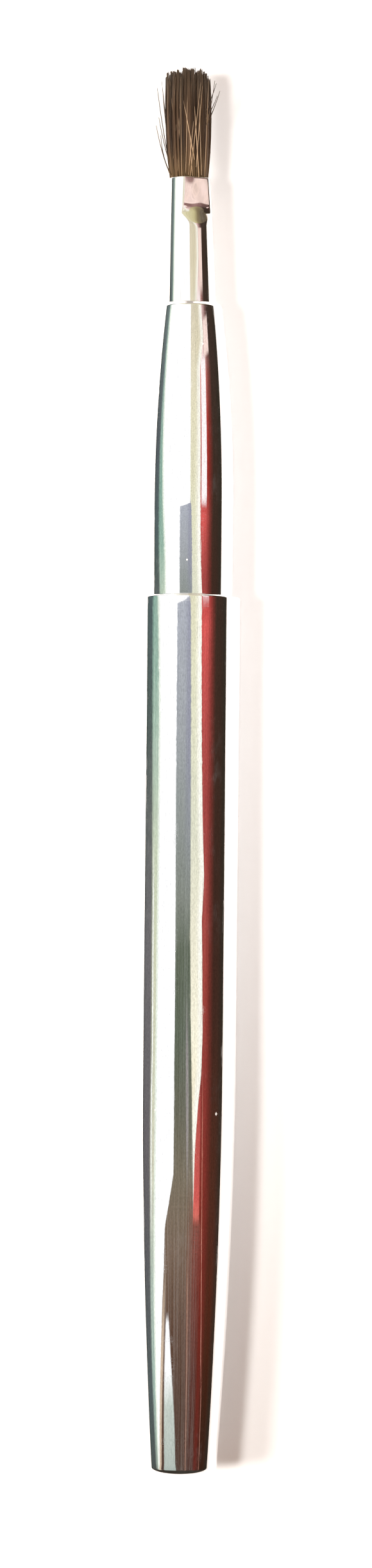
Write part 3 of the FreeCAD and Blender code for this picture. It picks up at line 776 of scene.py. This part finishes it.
def right_cards(graph, angle, along, streak):
    """Right side: a cream blind, a red cloth beside it and the dark brown beyond."""
    step, blend = graph.step, graph.blend
    brown = graph.shades(along, [(-92, card(54, 36, 27)), (-78, card(64, 38, 28)), (-62, card(82, 44, 33)),
                                 (-48, card(78, 46, 36)), (-25, card(66, 44, 37)), (0, card(62, 44, 37)),
                                 (35, card(62, 48, 41)), (80, card(62, 51, 45))])
    brown = blend(step(angle, 72, 94) * 0.8, brown, card(46, 46, 40))
    brown = blend(streak * 0.2, brown, card(84, 62, 50))
    red = graph.shades(along, [(-92, card(78, 40, 30)), (-75, card(98, 44, 34)), (-55, card(122, 50, 41)),
                               (-36, card(142, 62, 56)), (-20, card(164, 76, 68)), (-8, card(172, 84, 78)),
                               (4, card(166, 76, 72)), (14, card(184, 84, 80)), (28, card(222, 96, 92)),
                               (38, card(176, 46, 42)), (50, card(196, 66, 60)), (60, card(232, 146, 138)),
                               (66, card(255, 226, 220))])
    red = blend(streak * 0.5, red, card(108, 40, 34))
    red_end = graph.track(along, [(-92, 46), (-50, 52), (22, 50), (45, 52), (62, 50), (66, 46)])
    side = blend(step(angle, red_end - 9.0, red_end + 6.0) * 0.75, red, card(112, 50, 44))
    side = blend(step(angle, red_end - 2.0, red_end + 17.0), side, brown)
    side = blend(graph.band(angle, 32.5, 47.0, 1.0) * graph.band(along, 32, 64, 2), side, card(255, 246, 246))
    thread_at = graph.track(along, [(-92, 62), (-78, 58), (-72, 53), (-62, 48), (-52, 44.5), (-28, 40)])
    thread_line = graph.band(angle, thread_at, thread_at + 1.6, 0.7) * (1 - step(along, -42, -30))
    side = blend(thread_line * (0.35 + streak * 0.5), side, card(236, 166, 146))
    patch = (1 - step(angle, 37, 40)) * (1 - step(along, -38, -34))
    patch_shade = graph.shades(along, [(-54, card(222, 122, 108)), (-50, card(204, 92, 86)), (-38, card(176, 84, 78))])
    side = blend(patch * graph.step(along, -54.5, -52.5), side, patch_shade)
    cream_end = graph.track(along, [(-54, 24), (-44, 26.5), (-38, 32), (-33, 39), (-27, 41.5), (-18, 39),
                                    (-12, 37), (-6, 41), (2, 36), (12, 33), (24, 31), (34, 30), (62, 30),
                                    (68, 44), (80, 37)])
    cream = graph.shades(along, [(-54, card(238, 206, 176)), (-44, card(240, 226, 196)), (-28, card(250, 245, 222)),
                                 (-14, card(238, 234, 212)), (0, card(222, 223, 202)), (24, card(228, 227, 198)),
                                 (50, card(232, 226, 196)), (68, card(226, 216, 190)), (80, card(216, 206, 184))])
    cream = blend(step(angle, cream_end - 15, cream_end - 4), cream, card(255, 253, 242))
    cream = blend(streak * (0.25 + 0.4 * step(along, 20, 40)), cream, card(190, 184, 152))
    strip = (1 - step(angle, cream_end - 1.0, cream_end + 1.0)) * step(along, -54, -51)
    side = blend(strip, side, cream)
    # painted reflection: a pale pink patch of the tent just where the ferrule's flats look
    flats = graph.band(angle, 44.0, 60.0, 1.0) * graph.band(along, 64.0, 72.0, 0.8)
    flat_shade = blend(streak, card(252, 226, 218), card(232, 205, 190))
    return blend(flats, side, flat_shade)


def tent_colours(graph):
    """Glowing colours on the inside of the tent, painted reflections for the mirror metal, by angle from straight up
    and place along it, in mm.

    From the left: a dark edge, a tall bright window, a panel over the grip that turns brown
    towards the butt, a cream blind, a red cloth and a dark brown side.
    """
    x, y, z = graph.parts(graph.place())
    angle = graph.math("ARCTAN2", x, z - AXIS_HEIGHT) * (1.03 * 180 / math.pi)
    along = y / MM
    step, blend = graph.step, graph.blend
    grid = graph.node("ShaderNodeCombineXYZ", None, {"X": angle, "Y": along})
    streak = graph.step(graph.noise(graph.scaled(grid, (0.55, 0.02, 1.0)), 1.0, 4.0, 0.7), 0.4, 0.72)
    ragged = (graph.noise(graph.scaled(grid, (0.12, 0.9, 1.0)), 1.0, 4.0, 0.75) - 0.5) * 3.0
    angle = angle + ragged * (0.5 + 1.4 * graph.band(along, 8, 33, 6))
    fine = graph.noise(graph.scaled(grid, (1.6, 0.35, 1.0)), 1.0, 3.0, 0.7)

    panel_end = graph.track(along, [(-52, 25), (-40, 20.5), (-34, 18), (-25, 15), (-14, 12), (0, 11),
                                    (20, 9), (31, 7), (34, 3), (80, 1)])
    over = blend(step(angle, panel_end - 1.2, panel_end + 1.2), middle_cards(graph, angle, along, streak),
                 right_cards(graph, angle, along, streak))
    low_butt = 1 - step(along, -55, -52)
    below = blend(step(angle, 38, 46), middle_cards(graph, angle, along, streak),
                  right_cards(graph, angle, along, streak))
    over = blend(low_butt, over, below)

    window_end = graph.track(along, [(-92, -67), (-82, -60), (-74, -54), (-66, -47), (-60, -42), (-54, -39),
                                     (-51, -30), (-47, -19.5), (-20, -19.5), (10, -21.5), (31, -22), (32, 4), (80, 1)])
    warm_edge = graph.band(angle, window_end, window_end + 7, 1.5) * (1 - step(along, -72, -58))
    over = blend(warm_edge * 0.8, over, card(226, 202, 176))
    window = 1 - step(angle, window_end - 0.9, window_end + 0.9)
    inside = blend(window, over, left_cards(graph, angle, along, streak))
    beyond = graph.shades(angle, [(-60, card(250, 246, 226)), (20, card(228, 222, 184)), (44, card(206, 196, 150)),
                                  (54, card(140, 126, 96)), (70, card(92, 80, 68))])
    beyond = blend(streak * 0.4, beyond, card(150, 138, 104))
    grain = graph.noise(graph.scaled(grid, (0.4, 2.6, 1.0)), 1.0, 3.0, 0.8)
    mottle = 1.02 + (fine - 0.5) * 1.2 + (grain - 0.5) * 1.3
    inside = graph.node("ShaderNodeVectorMath", {"operation": "SCALE"}, {0: inside, "Scale": mottle})
    inside = blend(1 - step(along, -118, -102), inside, card(58, 54, 48))
    return blend(step(along, 96.0, 104.0), inside, beyond)


def light_tent():
    """Half-round tent of glowing coloured cards round the brush, seen only in its mirror surfaces: its colours are
    painted reflections.

    Radius by angle is a circle on the right; on the left the wall stands straight up and comes
    nearer towards the hairs.  The first ring is drawn in to close the end behind the butt.
    """
    rows, columns = 33, 129
    angle = np.radians(np.linspace(-98, 91.2, columns))[None, :]
    along = np.linspace(-TENT_HALF_LENGTH, TENT_HALF_LENGTH, rows)[:, None]
    along[0] = along[1]
    wall = np.clip(0.076 - 0.55 * along, 0.035, 0.07)
    straight_wall = wall / np.maximum(np.sin(-angle), 0.3)
    radius = np.where(angle < 0, np.minimum(straight_wall, TENT_RADIUS), TENT_RADIUS)
    radius[0] = 0.5 * MM
    x = radius * np.sin(angle)
    z = np.maximum(AXIS_HEIGHT + radius * np.cos(angle), 0.0001)
    y = np.broadcast_to(along, (rows, columns))
    quads = ring_faces(rows, columns, False).reshape(-1, columns, 4)[:, :-1].reshape(-1, 4)
    tent = add_mesh("light_tent", np.stack([x, y, z], axis=-1).reshape(-1, 3), [quads], False)
    material, graph = new_material("tent_cards")
    glow = graph.node("ShaderNodeEmission", None, {"Color": tent_colours(graph), "Strength": CARD_GAIN})
    graph.node("ShaderNodeOutputMaterial", None, {"Surface": glow})
    tent.data.materials.append(material)
    for ray in ("camera", "diffuse", "shadow", "transmission", "volume_scatter"):
        setattr(tent, f"visible_{ray}", False)


def add_light(name, kind, energy, place, target, tint, **settings):
    """A lamp aimed at a target that lights dull surfaces and is not mirrored in bright ones."""
    light = bpy.data.lights.new(name, kind)
    light.energy = energy
    light.color = tint
    for setting, value in settings.items():
        setattr(light, setting, value)
    lamp = bpy.data.objects.new(name, light)
    lamp.location = place
    lamp.rotation_euler = aim(place, target)
    bpy.context.scene.collection.objects.link(lamp)
    lamp.visible_glossy = False
    return lamp


def aim(place, target):
    """Rotation that points an object's -Z from place towards target."""
    return (Vector(target) - Vector(place)).to_track_quat("-Z", "Y").to_euler()


def soft_world():
    """Warm dim room overhead that is pale down at the horizon."""
    world = bpy.data.worlds.new("soft_room")
    bpy.context.scene.world = world
    world.use_nodes = True
    graph = Graph(world.node_tree)
    direction = graph.node("ShaderNodeTexCoord", output="Generated")
    height = graph.parts(direction)[2]
    shade = graph.blend(graph.step(height, 0.2, 0.5), colour(0.56, 0.5, 0.45), colour(0.28, 0.155, 0.1))
    glow = graph.node("ShaderNodeBackground", None, {"Color": shade, "Strength": 1.0})
    graph.node("ShaderNodeOutputWorld", None, {"Surface": glow})


def overhead_camera():
    """Camera straight above the brush, a little nearer to the butt than the middle of the view."""
    distance = 0.350
    view_height = 147.3 * MM
    roll = math.radians(0.556)
    stands_over = BUTT + 56.2 * MM
    looks_at = BUTT + 64.56 * MM
    camera_data = bpy.data.cameras.new("camera")
    camera_data.sensor_fit = "VERTICAL"
    camera_data.sensor_height = 24.0
    camera_data.lens = 24.0 * distance / view_height
    camera_data.clip_start = 0.01
    camera = bpy.data.objects.new("camera", camera_data)
    camera.location = (0.08 * MM, stands_over, AXIS_HEIGHT + distance)
    tilt = math.atan2(looks_at - stands_over, distance)
    camera.rotation_euler = (tilt, 0, roll)
    bpy.context.scene.collection.objects.link(camera)
    bpy.context.scene.camera = camera


plain_floor()
light_tent()
soft_world()
brush_middle = (0, 0, AXIS_HEIGHT)
add_light("key", "AREA", 2.4, (-0.25, -0.03, 0.62), brush_middle, (1.0, 0.99, 0.97), shape="DISK", size=0.1)
add_light("side", "AREA", 3.2, (-0.42, -0.06, 0.48), brush_middle, (1.0, 0.985, 0.95), shape="DISK", size=0.16)
add_light("fill", "SPOT", 9.0, (0.14, 0.12, 0.50), (0.012, 0.024, 0.0), (0.97, 0.99, 1.0),
          spot_size=math.radians(22), spot_blend=1.0, shadow_soft_size=0.05)
overhead_camera()
bpy.context.scene.view_settings.view_transform = "Standard"
